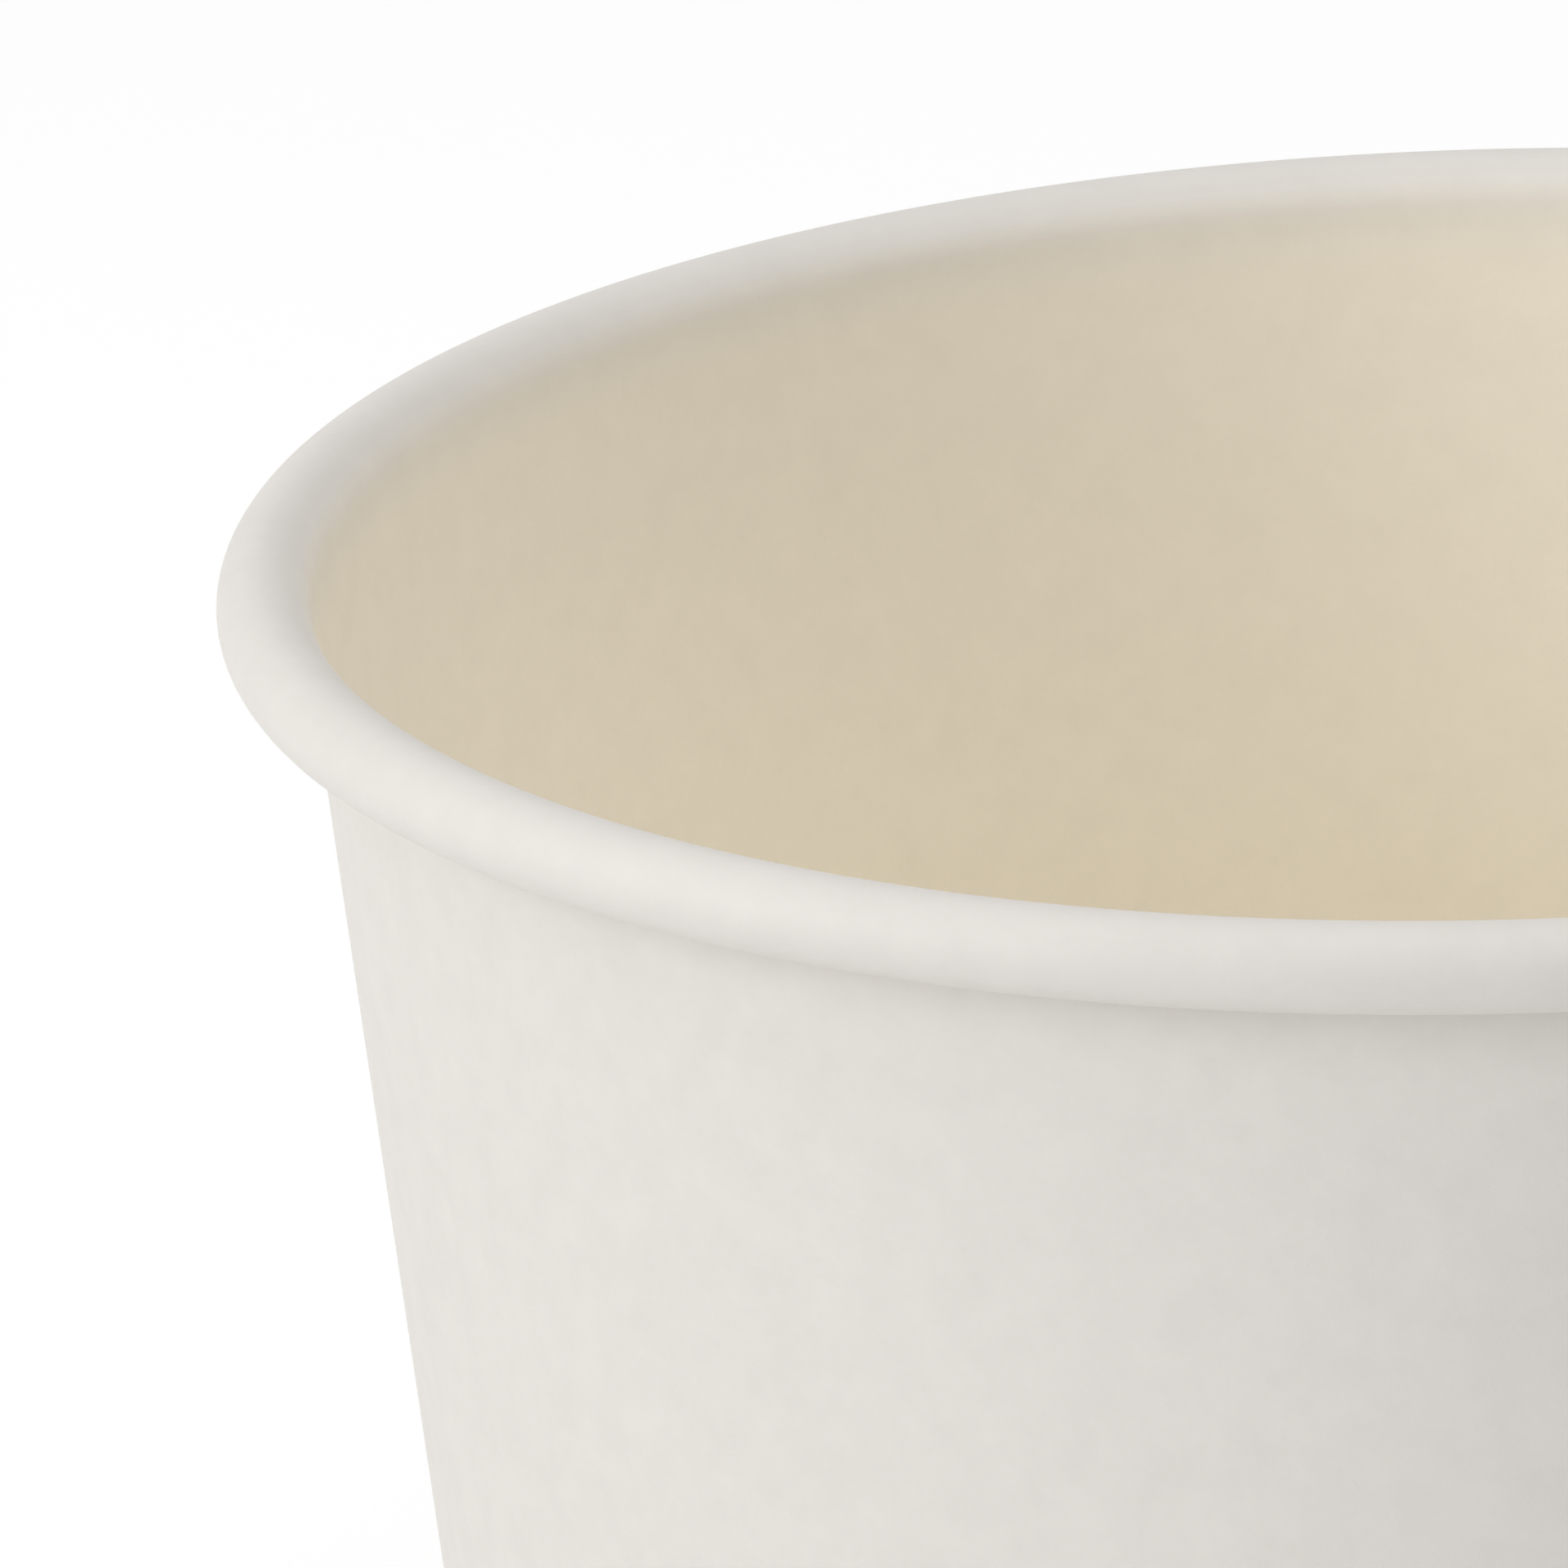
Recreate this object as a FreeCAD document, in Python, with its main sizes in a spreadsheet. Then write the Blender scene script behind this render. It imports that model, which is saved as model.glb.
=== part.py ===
import FreeCAD, Part
import math
import os
import Sketcher

# A plain white paper cup for a sundae or an ice cream, stood on its foot.
# The origin is the middle of the foot, on the surface that the cup stands on, and +Z is the cup's axis.
# It is made of two pieces of board. A fan-shaped blank is wrapped into a cone and sealed to itself along
# a side seam, its top edge is rolled outward into the rim, and its foot is folded in and up as a hem.
# A round base with a turned-down skirt is sealed between the wall and that hem.
# Every section below is drawn in the half-plane that holds the axis and +X, where the seam starts.
#
# The cup's outside, in mm and degrees:
#   rim_diameter    across the rolled rim, outside
#   cup_height      from the surface it stands on to the top of the rim
#   wall_lean       how far the wall leans out from upright
#   wall_board      thickness of the wall's board
# The rolled rim:
#   roll_width      from the wall's inner face to the outside of the roll
#   roll_height     from the top of the roll to its underside
#   tuck_gap        between the roll's tucked-in end and the wall's outer face
# The side seam, both widths measured round the rim:
#   seam_lap        how far the outer ply lies over the inner ply
#   seam_ramp       the stretch in which the outer ply climbs on to the inner one
# The base and the foot:
#   base_board      thickness of the base's board
#   base_height     from the surface it stands on to the underside of the base
#   base_bend       inner radius of the bend between the base and its skirt
#   seal_film       the film that seals the skirt to the wall and to the hem
#   skirt_clearance from the skirt's cut edge to the start of the foot's fold
#   hem_clearance   from the hem's cut edge to the underside of the base
#   foot_press      how much of the round of the fold is pressed away by the flat that the cup stands on
SIZES = {
    "rim_diameter": 90.0,
    "cup_height": 78.0,
    "wall_lean": 5.8,
    "wall_board": 0.36,
    "roll_width": 3.35,
    "roll_height": 3.14,
    "tuck_gap": 0.05,
    "seam_lap": 7.0,
    "seam_ramp": 3.0,
    "base_board": 0.3,
    "base_height": 6.5,
    "base_bend": 0.5,
    "seal_film": 0.02,
    "skirt_clearance": 0.3,
    "hem_clearance": 1.0,
    "foot_press": 0.05,
}

doc = FreeCAD.newDocument("paper_sundae_cup")
sheet = doc.addObject("Spreadsheet::Sheet", "dims")
for row, (alias, size) in enumerate(SIZES.items(), start=1):
    sheet.set(f"A{row}", alias)
    sheet.set(f"B{row}", str(size))
    sheet.setAlias(f"B{row}", alias)
doc.recompute()

# The roll is three arcs, each tangent to the next, drawn on the board's inner face. The shoulder rises from
# the wall to the top, the outer half goes round to the underside, and the tuck runs up beside the wall.
# Their centres stand one above another, so the board ends level with the middle of the roll.
ROLL_CENTRE = "(dims.rim_diameter / 2 - dims.roll_height / 2)"
SHOULDER_RADIUS = "(dims.roll_width - dims.roll_height / 2)"
OUTER_RADIUS = "(dims.roll_height / 2)"
TUCK_RADIUS = (
    f"(({SHOULDER_RADIUS} - ({SHOULDER_RADIUS} - dims.roll_height) * sin(dims.wall_lean)"
    " - dims.wall_board - dims.tuck_gap) / (1 + sin(dims.wall_lean)))"
)
SHOULDER_HEIGHT = f"(dims.cup_height - {SHOULDER_RADIUS})"
OUTER_HEIGHT = f"(dims.cup_height - {OUTER_RADIUS})"
TUCK_HEIGHT = f"(dims.cup_height - dims.roll_height + {TUCK_RADIUS})"

# The foot's fold has room inside it for the skirt and a film of seal on each side of that.
FOLD_RADIUS = "(dims.base_board / 2 + dims.seal_film)"
FOLD_HEIGHT = f"({FOLD_RADIUS} + dims.wall_board - dims.foot_press)"
HEM_TOP = "(dims.base_height - dims.hem_clearance)"
SKIRT_END = f"({FOLD_HEIGHT} + dims.skirt_clearance)"
BEND_HEIGHT = "(dims.base_height - dims.base_bend)"

# The seam's two stretches, as angles round the axis.
LAP_ANGLE = "(dims.seam_lap / dims.rim_diameter * 360 / pi)"
RAMP_ANGLE = "(dims.seam_ramp / dims.rim_diameter * 360 / pi)"

# How a sketch names the two ends and the centre of an edge, its own origin and its upright axis.
START, END, CENTRE = 1, 2, 3
ORIGIN = (-1, 1)
UPRIGHT = -2


def inner_face(height, inset="0"):
    """The radius at a height of the wall's inner face, or of a face parallel to it that lies further in."""
    reach = f"({SHOULDER_RADIUS} + {inset})"
    return (
        f"({ROLL_CENTRE} - {reach} / cos(dims.wall_lean)"
        f" - ({SHOULDER_HEIGHT} - {height}) * tan(dims.wall_lean))"
    )


def number(formula):
    """What a formula of the size table comes to now."""
    return float(sheet.evalExpression(formula))


def plane_sketch(body, name, role):
    """An empty sketch on one of the planes through the middle of the foot."""
    plane = next(p for p in body.Origin.OriginFeatures if p.Role == role)
    sketch = body.newObject("Sketcher::SketchObject", name)
    sketch.AttachmentSupport = (plane, [""])
    sketch.MapMode = "FlatFace"
    return sketch


def section_sketch(body, name, turned_back="0"):
    """An empty sketch in the half-plane of the axis and +X, or in one turned back from it about the axis."""
    turn = FreeCAD.Rotation(FreeCAD.Vector(0, -1, 0), number(turned_back))
    sketch = plane_sketch(body, name, "XZ_Plane")
    sketch.AttachmentOffset = FreeCAD.Placement(FreeCAD.Vector(), turn)
    sketch.setExpression("AttachmentOffset.Rotation.Angle", turned_back)
    return sketch


def draw_line(sketch, start, end):
    """Draws a straight edge between two points."""
    return sketch.addGeometry(Part.LineSegment(FreeCAD.Vector(*start, 0), FreeCAD.Vector(*end, 0)))


def draw_arc(sketch, centre, radius, first, last):
    """Draws an arc counter-clockwise between two directions, in degrees from +X."""
    circle = Part.Circle(FreeCAD.Vector(*centre, 0), FreeCAD.Vector(0, 0, 1), radius)
    return sketch.addGeometry(Part.ArcOfCircle(circle, math.radians(first), math.radians(last)))


def hold(sketch, kind, *where):
    """Adds a geometric constraint."""
    sketch.addConstraint(Sketcher.Constraint(kind, *where))


def measure(sketch, kind, where, formula):
    """Adds a dimension that follows the size table."""
    place = sketch.addConstraint(Sketcher.Constraint(kind, *where, number(formula)))
    sketch.setExpression(f"Constraints[{place}]", formula)


def pin(sketch, point, across, up):
    """Dimensions a point from the middle of the foot."""
    measure(sketch, "DistanceX", (*ORIGIN, *point), across)
    measure(sketch, "DistanceY", (*ORIGIN, *point), up)


def cut_edge(sketch, first, second):
    """Closes a section with the board's straight cut edge between two drawn points."""
    ends = [sketch.getPoint(*point) for point in (first, second)]
    edge = draw_line(sketch, *[(end.x, end.y) for end in ends])
    hold(sketch, "Coincident", edge, START, *first)
    hold(sketch, "Coincident", edge, END, *second)


def draw_wall_face(sketch, plies):
    """One face of the wall's board, from the fold to the end of the roll.

    It lies a number of plies out from the inner face, which inside the roll is towards its middle.
    """
    out = f"({plies} * dims.wall_board)"
    foot_height = f"({FOLD_HEIGHT} - ({FOLD_RADIUS} + {out}) * sin(dims.wall_lean))"
    foot_across = inner_face(foot_height, f"(0 - {out})")
    foot = (number(foot_across), number(foot_height))
    lean = number("dims.wall_lean")
    across = number(ROLL_CENTRE)
    radii = [f"({radius} - {out})" for radius in (SHOULDER_RADIUS, OUTER_RADIUS, TUCK_RADIUS)]
    heights = [SHOULDER_HEIGHT, OUTER_HEIGHT, TUCK_HEIGHT]
    spans = [(90, 180 - lean), (-90, 90), (-180, -90)]
    arcs = []
    for radius, height, span in zip(radii, heights, spans):
        arcs.append(draw_arc(sketch, (across, number(height)), number(radius), *span))
    top = sketch.getPoint(arcs[0], END)
    wall = draw_line(sketch, foot, (top.x, top.y))
    shoulder, outer, tuck = arcs
    hold(sketch, "Tangent", wall, END, shoulder, END)
    hold(sketch, "Tangent", shoulder, START, outer, END)
    hold(sketch, "Tangent", outer, START, tuck, END)
    for arc, radius in zip(arcs, radii):
        measure(sketch, "Radius", (arc,), radius)
    pin(sketch, (shoulder, CENTRE), ROLL_CENTRE, SHOULDER_HEIGHT)
    hold(sketch, "Vertical", shoulder, CENTRE, outer, CENTRE)
    hold(sketch, "Vertical", outer, CENTRE, tuck, CENTRE)
    hold(sketch, "Horizontal", tuck, START, tuck, CENTRE)
    pin(sketch, (wall, START), foot_across, foot_height)
    return (wall, START), (tuck, START)


def draw_wall_section(body, name, ply, turned_back="0"):
    """The wall and its roll as one ply of board. Ply 0 is the inner one, and ply 1 lies on its outside."""
    sketch = section_sketch(body, name, turned_back)
    inner_foot, inner_tuck = draw_wall_face(sketch, ply)
    outer_foot, outer_tuck = draw_wall_face(sketch, ply + 1)
    cut_edge(sketch, inner_foot, outer_foot)
    cut_edge(sketch, inner_tuck, outer_tuck)
    return sketch


def draw_foot_face(sketch, plies):
    """One face of the board round the foot: half a turn of fold, then the hem up the inside of the skirt."""
    out = f"({plies} * dims.wall_board)"
    radius = f"({FOLD_RADIUS} + {out})"
    across = inner_face(FOLD_HEIGHT, FOLD_RADIUS)
    hem_height = f"({HEM_TOP} + {out} * sin(dims.wall_lean))"
    hem_across = inner_face(hem_height, f"({FOLD_RADIUS} + {radius})")
    lean = number("dims.wall_lean")
    centre = (number(across), number(FOLD_HEIGHT))
    fold = draw_arc(sketch, centre, number(radius), 180 - lean, 360 - lean)
    turn = sketch.getPoint(fold, START)
    hem = draw_line(sketch, (turn.x, turn.y), (number(hem_across), number(hem_height)))
    hold(sketch, "Tangent", hem, START, fold, START)
    measure(sketch, "Radius", (fold,), radius)
    pin(sketch, (fold, CENTRE), across, FOLD_HEIGHT)
    measure(sketch, "DistanceY", (fold, END, fold, CENTRE), f"({radius} * sin(dims.wall_lean))")
    pin(sketch, (hem, END), hem_across, hem_height)
    return (fold, END), (hem, END)


def draw_foot_section(body, name):
    """The fold and the hem, as one ply of board that starts where the wall ends."""
    sketch = section_sketch(body, name)
    inner_wall, inner_hem = draw_foot_face(sketch, 0)
    outer_wall, outer_hem = draw_foot_face(sketch, 1)
    cut_edge(sketch, inner_wall, outer_wall)
    cut_edge(sketch, inner_hem, outer_hem)
    return sketch


def draw_base_face(sketch, plies):
    """One face of the base's board, from the axis out to the bend and down the skirt."""
    out = f"({plies} * dims.base_board)"
    inset = f"(dims.seal_film + dims.base_board - {out})"
    radius = f"(dims.base_bend + {out})"
    across = inner_face(BEND_HEIGHT, "(dims.seal_film + dims.base_board + dims.base_bend)")
    skirt_height = f"({SKIRT_END} + (dims.base_board - {out}) * sin(dims.wall_lean))"
    skirt_across = inner_face(skirt_height, inset)
    lean = number("dims.wall_lean")
    centre = (number(across), number(BEND_HEIGHT))
    bend = draw_arc(sketch, centre, number(radius), -lean, 90)
    crown = sketch.getPoint(bend, END)
    flat = draw_line(sketch, (0, crown.y), (crown.x, crown.y))
    corner = sketch.getPoint(bend, START)
    skirt = draw_line(sketch, (corner.x, corner.y), (number(skirt_across), number(skirt_height)))
    hold(sketch, "PointOnObject", flat, START, UPRIGHT)
    hold(sketch, "Horizontal", flat)
    hold(sketch, "Tangent", flat, END, bend, END)
    hold(sketch, "Tangent", skirt, START, bend, START)
    measure(sketch, "Radius", (bend,), radius)
    pin(sketch, (bend, CENTRE), across, BEND_HEIGHT)
    pin(sketch, (skirt, END), skirt_across, skirt_height)
    return (flat, START), (skirt, END)


def draw_base_section(body, name):
    """Half of the base with its skirt, closed along the axis."""
    sketch = section_sketch(body, name)
    under_axis, inner_skirt = draw_base_face(sketch, 0)
    upper_axis, outer_skirt = draw_base_face(sketch, 1)
    cut_edge(sketch, under_axis, upper_axis)
    cut_edge(sketch, inner_skirt, outer_skirt)
    return sketch


def turn_section(body, sketch, name, angle="360"):
    """Turns a section about the cup's axis."""
    feature = body.newObject("PartDesign::Revolution", name)
    feature.Profile = sketch
    feature.ReferenceAxis = (sketch, ["V_Axis"])
    feature.setExpression("Angle", angle)


def press_flat(body, name):
    """Takes away the round of the fold that lies below the surface the cup stands on."""
    sketch = plane_sketch(body, f"{name}_outline", "XY_Plane")
    outline = Part.Circle(FreeCAD.Vector(), FreeCAD.Vector(0, 0, 1), number("dims.rim_diameter / 2"))
    circle = sketch.addGeometry(outline)
    hold(sketch, "Coincident", circle, CENTRE, *ORIGIN)
    measure(sketch, "Radius", (circle,), "dims.rim_diameter / 2")
    flat = body.newObject("PartDesign::Pocket", name)
    flat.Profile = sketch
    flat.Type = "ThroughAll"


def make_side_wall():
    """The fan-shaped blank: cone, rolled rim, sealed side seam, and the fold and hem of the foot."""
    body = doc.addObject("PartDesign::Body", "side_wall")
    foot = draw_foot_section(body, "foot_section")
    wall = draw_wall_section(body, "wall_section", 0)
    lap = draw_wall_section(body, "lap_section", 1)
    ramp = draw_wall_section(body, "ramp_section", 0, RAMP_ANGLE)
    turn_section(body, foot, "folded_foot")
    turn_section(body, wall, "wrapped_wall", f"(360 - {RAMP_ANGLE})")
    turn_section(body, lap, "seam_lap", LAP_ANGLE)
    climb = body.newObject("PartDesign::AdditiveLoft", "seam_ramp")
    climb.Profile = ramp
    climb.Sections = [lap]
    climb.Ruled = True
    press_flat(body, "foot_flat")
    return body


def make_base_disc():
    """The round base: a disc with its edge turned down into a skirt."""
    body = doc.addObject("PartDesign::Body", "base_disc")
    turn_section(body, draw_base_section(body, "base_section"), "formed_base")
    return body


pieces = [make_side_wall(), make_base_disc()]
doc.recompute()

for item in doc.Objects:
    if "Invalid" in item.State or "Error" in item.State:
        raise RuntimeError(f"{item.Name} did not build: {item.State}")

os.makedirs("parts", exist_ok=True)
for piece in pieces:
    if piece.Shape.isNull() or not piece.Shape.isValid():
        raise RuntimeError(f"{piece.Label} has no valid shape")
    piece.Shape.exportStep(f"parts/{piece.Label}.step")
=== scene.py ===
"""A plain white paper cup for a sundae or an ice cream, on a white table in soft light from the left."""

import math

import bmesh
import bpy
from mathutils import Matrix, Vector


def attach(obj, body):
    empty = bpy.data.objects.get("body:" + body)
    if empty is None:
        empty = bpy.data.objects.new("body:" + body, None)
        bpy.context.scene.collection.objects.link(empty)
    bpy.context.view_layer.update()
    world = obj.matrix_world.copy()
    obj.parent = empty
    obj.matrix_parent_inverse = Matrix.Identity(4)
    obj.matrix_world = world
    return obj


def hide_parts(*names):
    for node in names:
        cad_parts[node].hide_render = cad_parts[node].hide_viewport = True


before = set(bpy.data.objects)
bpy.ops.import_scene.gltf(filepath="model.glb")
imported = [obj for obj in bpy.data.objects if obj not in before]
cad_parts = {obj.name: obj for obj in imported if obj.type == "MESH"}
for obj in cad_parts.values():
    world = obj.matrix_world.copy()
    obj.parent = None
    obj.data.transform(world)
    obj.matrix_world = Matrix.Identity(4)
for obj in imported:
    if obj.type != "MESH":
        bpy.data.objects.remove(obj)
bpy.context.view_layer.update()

# The side wall is a fan-shaped blank of coated cup board, wrapped into a cone and sealed to itself at a side
# seam. Its top edge is rolled outward into the rim, and its foot is folded in and up into a hem. Its section
# is drawn as the line of its food side, in metres, in the plane of the axis and +X, where the seam is.
RIM_RADIUS = 0.045
CUP_HEIGHT = 0.078
WALL_LEAN = math.radians(5.8)
WALL_BOARD = 0.00036
ROLL_WIDTH = 0.00335
ROLL_HEIGHT = 0.00314
TUCK_GAP = 0.00005
BASE_BOARD = 0.0003
BASE_HEIGHT = 0.0065
SEAL_FILM = 0.00002
HEM_CLEARANCE = 0.001
FOOT_PRESS = 0.00005
SEAM_LAP = 0.007
SEAM_RAMP = 0.003
SKIVE_HEIGHT = 0.0006
SHORT_TUCK_FROM = 0.0753
SHORT_TUCK_ACROSS = 0.00102

OUTER_RADIUS = ROLL_HEIGHT / 2
SHOULDER_RADIUS = ROLL_WIDTH - OUTER_RADIUS
TUCK_RADIUS = (
    SHOULDER_RADIUS - (SHOULDER_RADIUS - ROLL_HEIGHT) * math.sin(WALL_LEAN) - WALL_BOARD - TUCK_GAP
) / (1 + math.sin(WALL_LEAN))
ROLL_CENTRE = RIM_RADIUS - OUTER_RADIUS
SHOULDER_UP = CUP_HEIGHT - SHOULDER_RADIUS
OUTER_UP = CUP_HEIGHT - OUTER_RADIUS
TUCK_UP = CUP_HEIGHT - ROLL_HEIGHT + TUCK_RADIUS
FOLD_RADIUS = BASE_BOARD / 2 + SEAL_FILM
FOLD_UP = FOLD_RADIUS + WALL_BOARD - FOOT_PRESS
HEM_TOP = BASE_HEIGHT - HEM_CLEARANCE
LAP_TURN = SEAM_LAP / RIM_RADIUS
RAMP_TURN = SEAM_RAMP / RIM_RADIUS
TOUCHING = 0.00001

QUARTER_TURN = math.pi / 2
HALF_TURN = math.pi
FULL_TURN = 2 * math.pi
HEM_STRETCHES = 3
FOLD_STEPS = 12
WALL_STRETCHES = 24
SHOULDER_STEPS = 12
OUTER_STEPS = 24
TUCK_STEPS = 12
TURN_STEPS = 252
RAMP_STEPS = 6
LAP_STEPS = 6
SMOOTH_UP_TO = math.radians(35)


def wall_across(up, inset=0.0):
    """How far from the axis the wall's food side is at a height, or a face that lies further in."""
    reach = (SHOULDER_RADIUS + inset) / math.cos(WALL_LEAN)
    return ROLL_CENTRE - reach - (SHOULDER_UP - up) * math.tan(WALL_LEAN)


def start_line(name, across, up):
    """Starts a piece as a single point of its section, ready to be drawn on in edit mode."""
    bpy.ops.object.select_all(action="DESELECT")
    bpy.ops.mesh.primitive_plane_add(size=WALL_BOARD, location=(across, 0, up))
    bpy.ops.object.transform_apply(location=True)
    piece = bpy.context.object
    piece.name = name
    bpy.ops.object.mode_set(mode="EDIT")
    bpy.context.tool_settings.mesh_select_mode = (True, False, False)
    bpy.ops.mesh.merge(type="CENTER")
    return piece


def draw_to(piece, across, up, stretches=1):
    """Draws straight on from the picked point, in equal stretches."""
    drawn = bmesh.from_edit_mesh(piece.data)
    end = next(point.co.copy() for point in drawn.verts if point.select)
    stretch = (Vector((across, 0, up)) - end) / stretches
    for _ in range(stretches):
        bpy.ops.mesh.extrude_region_move(TRANSFORM_OT_translate={"value": stretch})


def bend_round(across, up, angle, steps):
    """Draws on round a centre. A positive angle goes counter-clockwise, with the axis on the left."""
    bpy.ops.mesh.spin(steps=steps, angle=angle, center=(across, 0, up), axis=(0, 1, 0))


def turn_about_axis(angle, steps):
    """Turns the picked part of a section about the cup's axis, from +X towards +Y."""
    bpy.ops.mesh.spin(steps=steps, angle=angle, center=(0, 0, 0), axis=(0, 0, -1))


def pick(piece, test):
    """Picks the points whose place passes a test, and nothing else."""
    bpy.ops.mesh.select_all(action="DESELECT")
    drawn = bmesh.from_edit_mesh(piece.data)
    for point in drawn.verts:
        point.select = test(point.co)
    drawn.select_flush(True)
    bmesh.update_edit_mesh(piece.data)


def unpick(piece, test):
    """Leaves picked only those of the picked points that fail a test."""
    drawn = bmesh.from_edit_mesh(piece.data)
    for point in drawn.verts:
        if point.select and test(point.co):
            point.select = False
    drawn.select_flush(False)
    bmesh.update_edit_mesh(piece.data)


def face_outward():
    """Joins points that touch, and turns every face to the sheet's shown side."""
    bpy.ops.mesh.select_all(action="SELECT")
    bpy.ops.mesh.remove_doubles(threshold=TOUCHING)
    bpy.ops.mesh.normals_make_consistent(inside=False)


side_wall = start_line("side_wall_board", wall_across(HEM_TOP, 2 * FOLD_RADIUS), HEM_TOP)
fold_across = wall_across(FOLD_UP, FOLD_RADIUS)
hem_foot = FOLD_UP + FOLD_RADIUS * math.sin(WALL_LEAN)
draw_to(side_wall, fold_across - FOLD_RADIUS * math.cos(WALL_LEAN), hem_foot, HEM_STRETCHES)
bend_round(fold_across, FOLD_UP, HALF_TURN, FOLD_STEPS)
wall_foot = FOLD_UP - FOLD_RADIUS * math.sin(WALL_LEAN)
skive_top = wall_foot + SKIVE_HEIGHT
wall_top = SHOULDER_UP + SHOULDER_RADIUS * math.sin(WALL_LEAN)
draw_to(side_wall, wall_across(skive_top), skive_top)
draw_to(side_wall, wall_across(wall_top), wall_top, WALL_STRETCHES)
bend_round(ROLL_CENTRE, SHOULDER_UP, WALL_LEAN - QUARTER_TURN, SHOULDER_STEPS)
bend_round(ROLL_CENTRE, OUTER_UP, -HALF_TURN, OUTER_STEPS)
bend_round(ROLL_CENTRE, TUCK_UP, -QUARTER_TURN, TUCK_STEPS)
bpy.ops.mesh.select_all(action="SELECT")
turn_about_axis(FULL_TURN - RAMP_TURN, TURN_STEPS)


def in_foot(place):
    """True for the hem, the fold and the foot of the wall, which stay one ply at the seam."""
    return place.z < skive_top - TOUCHING or place.xy.length < wall_across(place.z) - FOLD_RADIUS


outer_ply = side_wall.vertex_groups.new(name="outer_ply")
for step in range(1, RAMP_STEPS + 1):
    turn_about_axis(RAMP_TURN / RAMP_STEPS, 1)
    bpy.context.tool_settings.vertex_group_weight = 0.5 - 0.5 * math.cos(HALF_TURN * step / RAMP_STEPS)
    bpy.ops.object.vertex_group_assign()
unpick(side_wall, in_foot)
for _ in range(LAP_STEPS):
    turn_about_axis(LAP_TURN / LAP_STEPS, 1)
    bpy.ops.object.vertex_group_assign()
pick(side_wall, in_foot)
bpy.ops.object.vertex_group_remove_from()
bpy.ops.mesh.select_all(action="SELECT")
bpy.ops.mesh.normals_make_consistent(inside=False)
bpy.ops.object.mode_set(mode="OBJECT")
lift = side_wall.modifiers.new("lift", "DISPLACE")
lift.strength = -(WALL_BOARD + SEAL_FILM)
lift.mid_level = 0
lift.vertex_group = outer_ply.name
bpy.ops.object.modifier_apply(modifier=lift.name)


def in_short_tuck(place):
    """True for the tucked end of the inner ply at the seam, which ends short to leave the outer ply room."""
    under_lap = -TOUCHING < math.atan2(place.y, place.x) < LAP_TURN
    beside_wall = ROLL_CENTRE - TUCK_RADIUS - TOUCHING < place.xy.length < ROLL_CENTRE - SHORT_TUCK_ACROSS
    return under_lap and beside_wall and SHORT_TUCK_FROM < place.z < TUCK_UP + TOUCHING


bpy.ops.object.mode_set(mode="EDIT")
pick(side_wall, in_short_tuck)
bpy.ops.mesh.delete(type="VERT")
face_outward()

# Cup board's finish is a felt of wood fibres under a thin film of plastic, matt and a little cloudy. A share
# is what is left of a colour in its darkest clouds.
MOTTLES_PER_METRE = 520.0
FIBRES_PER_METRE = 2400.0
CLOUD_FROM = 0.3
CLOUD_TO = 0.7
CLOUD_RELIEF = 0.7
ROUGHNESS_DRIFT = 0.08
RELIEF = 0.000012
BOARD_GLOSS = 0.35


def add_node(tree, kind, sockets=None, **settings):
    """Adds a node, sets its properties, and gives its sockets a value each or the output of another node."""
    node = tree.nodes.new(kind)
    for name, value in settings.items():
        setattr(node, name, value)
    for name, value in (sockets or {}).items():
        if isinstance(value, bpy.types.NodeSocket):
            tree.links.new(value, node.inputs[name])
        else:
            node.inputs[name].default_value = value
    return node


def make_fibre_group():
    """Paper's cloudy colour, uneven sheen and fine relief, for any colour of board."""
    group = bpy.data.node_groups.new("paper_fibre", "ShaderNodeTree")
    for name, kind in (
        ("Colour", "NodeSocketColor"),
        ("Darkest Share", "NodeSocketFloat"),
        ("Roughness", "NodeSocketFloat"),
    ):
        group.interface.new_socket(name, in_out="INPUT", socket_type=kind)
    for name, kind in (
        ("Colour", "NodeSocketColor"),
        ("Roughness", "NodeSocketFloat"),
        ("Height", "NodeSocketFloat"),
    ):
        group.interface.new_socket(name, in_out="OUTPUT", socket_type=kind)
    given = add_node(group, "NodeGroupInput").outputs
    place = add_node(group, "ShaderNodeTexCoord").outputs["Object"]
    cloud = add_node(
        group,
        "ShaderNodeTexNoise",
        {"Vector": place, "Scale": MOTTLES_PER_METRE, "Detail": 4.0, "Roughness": 0.6},
    ).outputs["Fac"]
    fibre = add_node(
        group,
        "ShaderNodeTexNoise",
        {"Vector": place, "Scale": FIBRES_PER_METRE, "Detail": 3.0, "Roughness": 0.6, "Distortion": 1.5},
    ).outputs["Fac"]
    share = add_node(
        group,
        "ShaderNodeMapRange",
        {
            "Value": cloud,
            "From Min": CLOUD_FROM,
            "From Max": CLOUD_TO,
            "To Min": 1.0,
            "To Max": given["Darkest Share"],
        },
    ).outputs["Result"]
    colour = add_node(
        group, "ShaderNodeVectorMath", {0: given["Colour"], "Scale": share}, operation="SCALE"
    ).outputs["Vector"]
    drift = add_node(
        group,
        "ShaderNodeMath",
        {0: fibre, 1: ROUGHNESS_DRIFT, 2: given["Roughness"]},
        operation="MULTIPLY_ADD",
    ).outputs["Value"]
    height = add_node(
        group,
        "ShaderNodeMath",
        {0: cloud, 1: CLOUD_RELIEF, 2: fibre},
        operation="MULTIPLY_ADD",
    ).outputs["Value"]
    add_node(group, "NodeGroupOutput", {"Colour": colour, "Roughness": drift, "Height": height})
    return group


paper_fibre = make_fibre_group()


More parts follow.
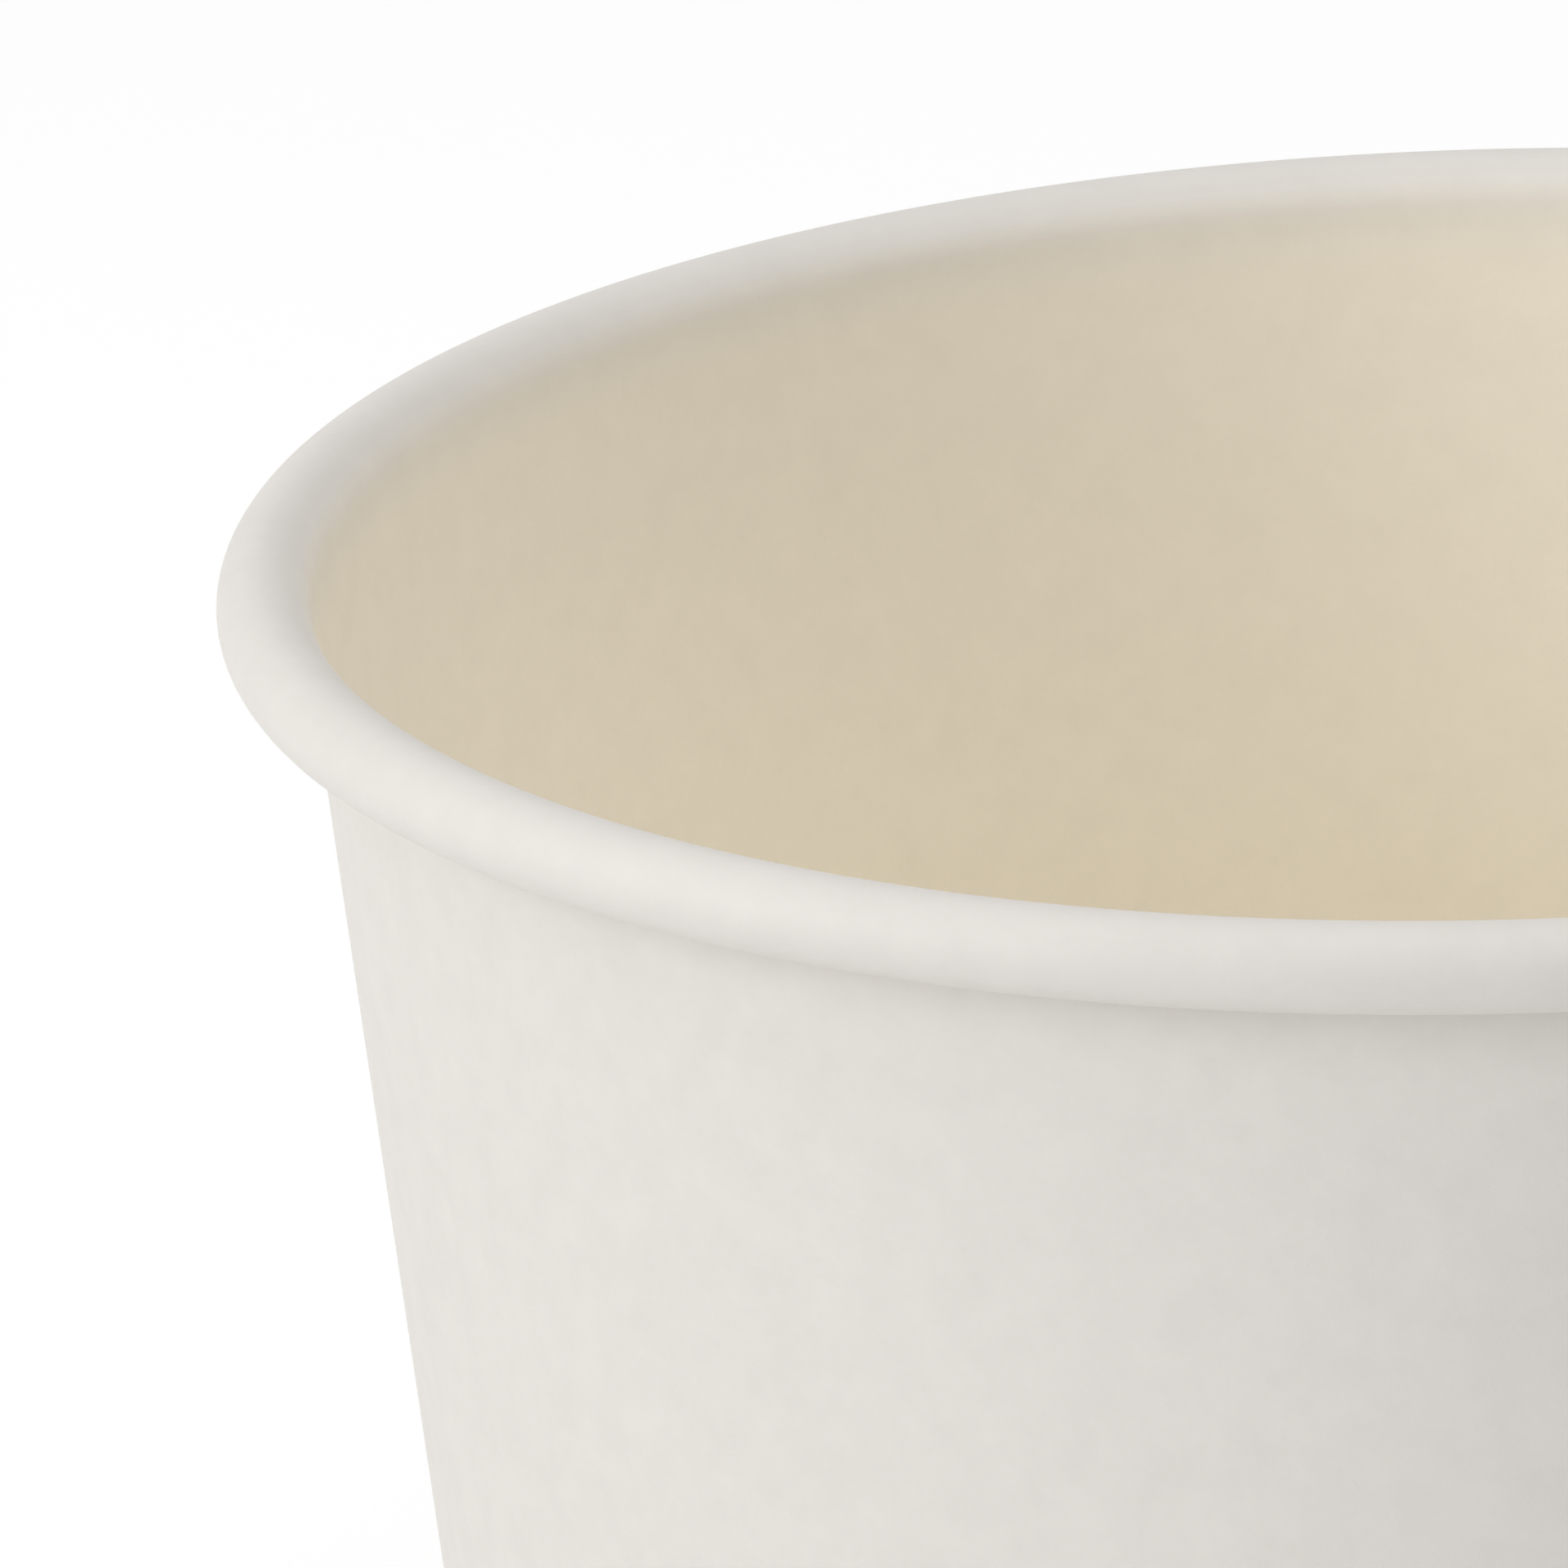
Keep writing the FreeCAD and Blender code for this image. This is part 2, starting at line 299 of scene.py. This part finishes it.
def board_finish(name, colour, darkest, roughness, relief=RELIEF):
    """A board face's material. Colour is a plain colour, or a function that makes one from the node tree."""
    material = bpy.data.materials.new(name)
    material.use_nodes = True
    tree = material.node_tree
    tree.nodes.clear()
    base = colour(tree) if callable(colour) else colour
    fibre = add_node(
        tree,
        "ShaderNodeGroup",
        {"Colour": base, "Darkest Share": darkest, "Roughness": roughness},
        node_tree=paper_fibre,
    )
    bump = add_node(
        tree,
        "ShaderNodeBump",
        {"Height": fibre.outputs["Height"], "Distance": relief, "Strength": 1.0},
    )
    shader = add_node(
        tree,
        "ShaderNodeBsdfPrincipled",
        {
            "Base Color": fibre.outputs["Colour"],
            "Roughness": fibre.outputs["Roughness"],
            "Normal": bump.outputs["Normal"],
            "Specular IOR Level": BOARD_GLOSS,
        },
    )
    add_node(tree, "ShaderNodeOutputMaterial", {"Surface": shader.outputs["BSDF"]})
    return material


# The cream and pale tints are the food side's own, but both are painted lighter than the white: painted
# light that stands in for light through the thin wall into the cup.
WHITE = (0.818, 0.786, 0.744, 1)
CREAM_WITH_PAINTED_LIGHT = (0.957, 0.91, 0.805, 1)
PALE_WITH_PAINTED_LIGHT = (0.87, 0.84, 0.79, 1)
CUT_EDGE = (0.81, 0.78, 0.72, 1)
CREAM_UP_TO = 0.0742
PALE_FROM = 0.0776
PALE_OUT_TO = 0.0001
WHITE_OUT_FROM = 0.0007


def smooth_step(tree, value, start, end):
    """0 up to a start, 1 from an end, and a soft step between them."""
    return add_node(
        tree,
        "ShaderNodeMapRange",
        {"Value": value, "From Min": start, "From Max": end},
        interpolation_type="SMOOTHSTEP",
    ).outputs["Result"]


def mix_colours(tree, share, first, second):
    """The first colour where the share is 0, and the second where it is 1."""
    return add_node(
        tree, "ShaderNodeMix", {0: share, 6: first, 7: second}, data_type="RGBA"
    ).outputs[2]


def food_side_colour(tree):
    """Cream inside the cup, paler just below the rim, and white where the board turns out into the roll. The
    cream and the pale are painted lighter than the white, as painted light.
    """
    place = add_node(tree, "ShaderNodeTexCoord").outputs["Object"]
    up = add_node(tree, "ShaderNodeSeparateXYZ", {"Vector": place}).outputs["Z"]
    flat = add_node(
        tree, "ShaderNodeVectorMath", {0: place, 1: (1, 1, 0)}, operation="MULTIPLY"
    ).outputs["Vector"]
    across = add_node(tree, "ShaderNodeVectorMath", {0: flat}, operation="LENGTH").outputs["Value"]
    off_wall = add_node(
        tree,
        "ShaderNodeMath",
        {0: up, 1: -math.tan(WALL_LEAN), 2: across},
        operation="MULTIPLY_ADD",
    ).outputs["Value"]
    near_rim = smooth_step(tree, up, CREAM_UP_TO, PALE_FROM)
    turned_out = smooth_step(tree, off_wall, wall_across(0) + PALE_OUT_TO, wall_across(0) + WHITE_OUT_FROM)
    # The cream and the pale are painted lighter than the white, as painted light inside the cup.
    return mix_colours(tree, turned_out, mix_colours(tree, near_rim, CREAM_WITH_PAINTED_LIGHT, PALE_WITH_PAINTED_LIGHT), WHITE)


food_side = board_finish("food_side", food_side_colour, darkest=0.97, roughness=0.52)
outside = board_finish("outside", WHITE, darkest=0.96, roughness=0.6)
raw_edge = board_finish("raw_edge", CUT_EDGE, darkest=0.9, roughness=0.75, relief=RELIEF * 2)


def finish_board(piece, thickness, finishes):
    """Gives the drawn face the board's thickness. The finishes are for that face, the other and the edge."""
    bpy.ops.object.mode_set(mode="OBJECT")
    for finish in finishes:
        piece.data.materials.append(finish)
    board = piece.modifiers.new("board", "SOLIDIFY")
    board.thickness = thickness
    board.offset = -1
    board.use_even_offset = True
    board.material_offset = 1
    board.material_offset_rim = 2
    bpy.ops.object.modifier_apply(modifier=board.name)


finish_board(side_wall, WALL_BOARD, (food_side, outside, raw_edge))
bpy.ops.object.mode_set(mode="EDIT")
pick(side_wall, lambda place: place.z < 0)
bpy.ops.transform.resize(value=(1, 1, 0), center_override=(0, 0, 0))
bpy.ops.object.mode_set(mode="OBJECT")
bpy.ops.object.shade_smooth_by_angle(angle=SMOOTH_UP_TO)
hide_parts("side_wall")
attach(side_wall, "root")

# The base is a disc of thinner board with its edge turned down into a skirt. The skirt is sealed between the
# wall and the hem, and its coated side faces the food.
BASE_BEND = 0.0005
SKIRT_CLEARANCE = 0.0003
SKIRT_STRETCHES = 3
BEND_STEPS = 10
FLOOR_STRETCHES = 8
BASE_STEPS = 192

bend_up = BASE_HEIGHT - BASE_BEND
bend_radius = BASE_BEND + BASE_BOARD
bend_across = wall_across(bend_up, SEAL_FILM + bend_radius)
skirt_end = FOLD_UP + SKIRT_CLEARANCE
bend_foot = bend_up - bend_radius * math.sin(WALL_LEAN)
base = start_line("base_board_disc", wall_across(skirt_end, SEAL_FILM), skirt_end)
draw_to(base, wall_across(bend_foot, SEAL_FILM), bend_foot, SKIRT_STRETCHES)
bend_round(bend_across, bend_up, QUARTER_TURN + WALL_LEAN, BEND_STEPS)
draw_to(base, 0, bend_up + bend_radius, FLOOR_STRETCHES)
bpy.ops.mesh.select_all(action="SELECT")
turn_about_axis(FULL_TURN, BASE_STEPS)
face_outward()
# The base's cream is painted lighter than the white too, as painted light inside the cup.
base_inside = board_finish("base_inside", CREAM_WITH_PAINTED_LIGHT, darkest=0.97, roughness=0.5)
base_underside = board_finish("base_underside", WHITE, darkest=0.96, roughness=0.6)
finish_board(base, BASE_BOARD, (base_inside, base_underside, raw_edge))
bpy.ops.object.shade_smooth_by_angle(angle=SMOOTH_UP_TO)
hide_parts("base_disc")
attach(base, "root")

# The stage is a wide white table top. The eye sees it and the room as white, and the table keeps the cup's
# soft shadow. To the light that falls on the cup, the table is a plain pale grey.
TABLE_SIZE = 12.0
TABLE_GREY = 0.92
TABLE_GLOW = 0.226


def seen_directly(tree):
    """1 for what the camera sees, by itself or in gloss and glass, and 0 for light that falls on things."""
    ray = add_node(tree, "ShaderNodeLightPath").outputs
    shine = add_node(
        tree,
        "ShaderNodeMath",
        {0: ray["Is Glossy Ray"], 1: ray["Is Transmission Ray"]},
        operation="MAXIMUM",
    ).outputs["Value"]
    return add_node(
        tree, "ShaderNodeMath", {0: ray["Is Camera Ray"], 1: shine}, operation="MAXIMUM"
    ).outputs["Value"]


bpy.ops.object.select_all(action="DESELECT")
bpy.ops.mesh.primitive_plane_add(size=TABLE_SIZE, location=(0, 0, 0))
table = bpy.context.object
table.name = "table_top"
table_finish = bpy.data.materials.new("table_top")
table_finish.use_nodes = True
tree = table_finish.node_tree
tree.nodes.clear()
seen = seen_directly(tree)
colour = add_node(
    tree, "ShaderNodeMapRange", {"Value": seen, "To Min": TABLE_GREY, "To Max": 1.0}
).outputs["Result"]
light = add_node(
    tree, "ShaderNodeMath", {0: seen, 1: TABLE_GLOW}, operation="MULTIPLY"
).outputs["Value"]
matt = add_node(tree, "ShaderNodeBsdfDiffuse", {"Color": colour})
glow = add_node(tree, "ShaderNodeEmission", {"Strength": light})
surface = add_node(
    tree, "ShaderNodeAddShader", {0: matt.outputs["BSDF"], 1: glow.outputs["Emission"]}
)
add_node(tree, "ShaderNodeOutputMaterial", {"Surface": surface.outputs["Shader"]})
table.data.materials.append(table_finish)

# Five softboxes hang round the cup in an even white room, the strongest on the left. Each has its degrees
# to the right of the camera, its degrees up, and its share of the light at which a white card that faces it
# renders as it is written. The inside of the cup is lit by what bounces from wall to wall, many times over,
# and painted light in its lighter cream adds to that.
ROOM_LEVEL = 0.2
SOFTBOX_SIZE = 1.0
SOFTBOX_DISTANCE = 1.5
SOFTBOXES = (
    ("front_left_softbox", -60, 20, 0.424),
    ("left_softbox", -90, 45, 0.202),
    ("back_right_softbox", 120, 50, 0.233),
    ("front_right_softbox", 20, 35, 0.162),
    ("top_softbox", 0, 90, 0.15),
)
LIGHT_BOUNCES = 12

world = bpy.data.worlds.new("room")
bpy.context.scene.world = world
world.use_nodes = True
tree = world.node_tree
tree.nodes.clear()
level = add_node(
    tree,
    "ShaderNodeMapRange",
    {"Value": seen_directly(tree), "To Min": ROOM_LEVEL, "To Max": 1.0},
).outputs["Result"]
sky = add_node(tree, "ShaderNodeBackground", {"Color": (1, 1, 1, 1), "Strength": level})
add_node(tree, "ShaderNodeOutputWorld", {"Surface": sky.outputs["Background"]})

for name, right, up, share_of_light in SOFTBOXES:
    across = math.radians(right)
    above = math.radians(up)
    towards = Vector(
        (math.sin(across) * math.cos(above), -math.cos(across) * math.cos(above), math.sin(above))
    )
    lamp = bpy.data.lights.new(name, "AREA")
    lamp.size = SOFTBOX_SIZE
    lamp.energy = share_of_light * math.pi**2 * SOFTBOX_DISTANCE**2
    softbox = bpy.data.objects.new(name, lamp)
    bpy.context.scene.collection.objects.link(softbox)
    softbox.location = towards * SOFTBOX_DISTANCE + Vector((0, 0, CUP_HEIGHT / 2))
    softbox.rotation_euler = towards.to_track_quat("Z", "Y").to_euler()
    softbox.visible_camera = False
bpy.context.scene.cycles.diffuse_bounces = LIGHT_BOUNCES

# The camera stands in front of the cup and above it, at the photograph's own viewpoint. Its long lens takes
# in the left half of the rim and the wall below it.
CAMERA_DISTANCE = 0.864
CAMERA_UP = math.radians(18.201)
CAMERA_PAN = math.radians(1.675)
CAMERA_TILT = math.radians(-0.476)
CAMERA_ROLL = math.radians(-1.48)
FOCAL_LENGTH_PIXELS = 30155
PHOTO_WIDTH_PIXELS = 1920

lens = bpy.data.cameras.new("camera")
lens.lens = lens.sensor_width * FOCAL_LENGTH_PIXELS / PHOTO_WIDTH_PIXELS
camera = bpy.data.objects.new("camera", lens)
bpy.context.scene.collection.objects.link(camera)
stand = Vector((0, -math.cos(CAMERA_UP), math.sin(CAMERA_UP))) * CAMERA_DISTANCE + Vector((0, 0, OUTER_UP))
camera.matrix_world = (
    Matrix.Translation(stand)
    @ Matrix.Rotation(QUARTER_TURN - CAMERA_UP, 4, "X")
    @ Matrix.Rotation(CAMERA_PAN, 4, "Y")
    @ Matrix.Rotation(CAMERA_TILT, 4, "X")
    @ Matrix.Rotation(CAMERA_ROLL, 4, "Z")
)
bpy.context.scene.camera = camera
bpy.context.scene.view_settings.view_transform = "Standard"
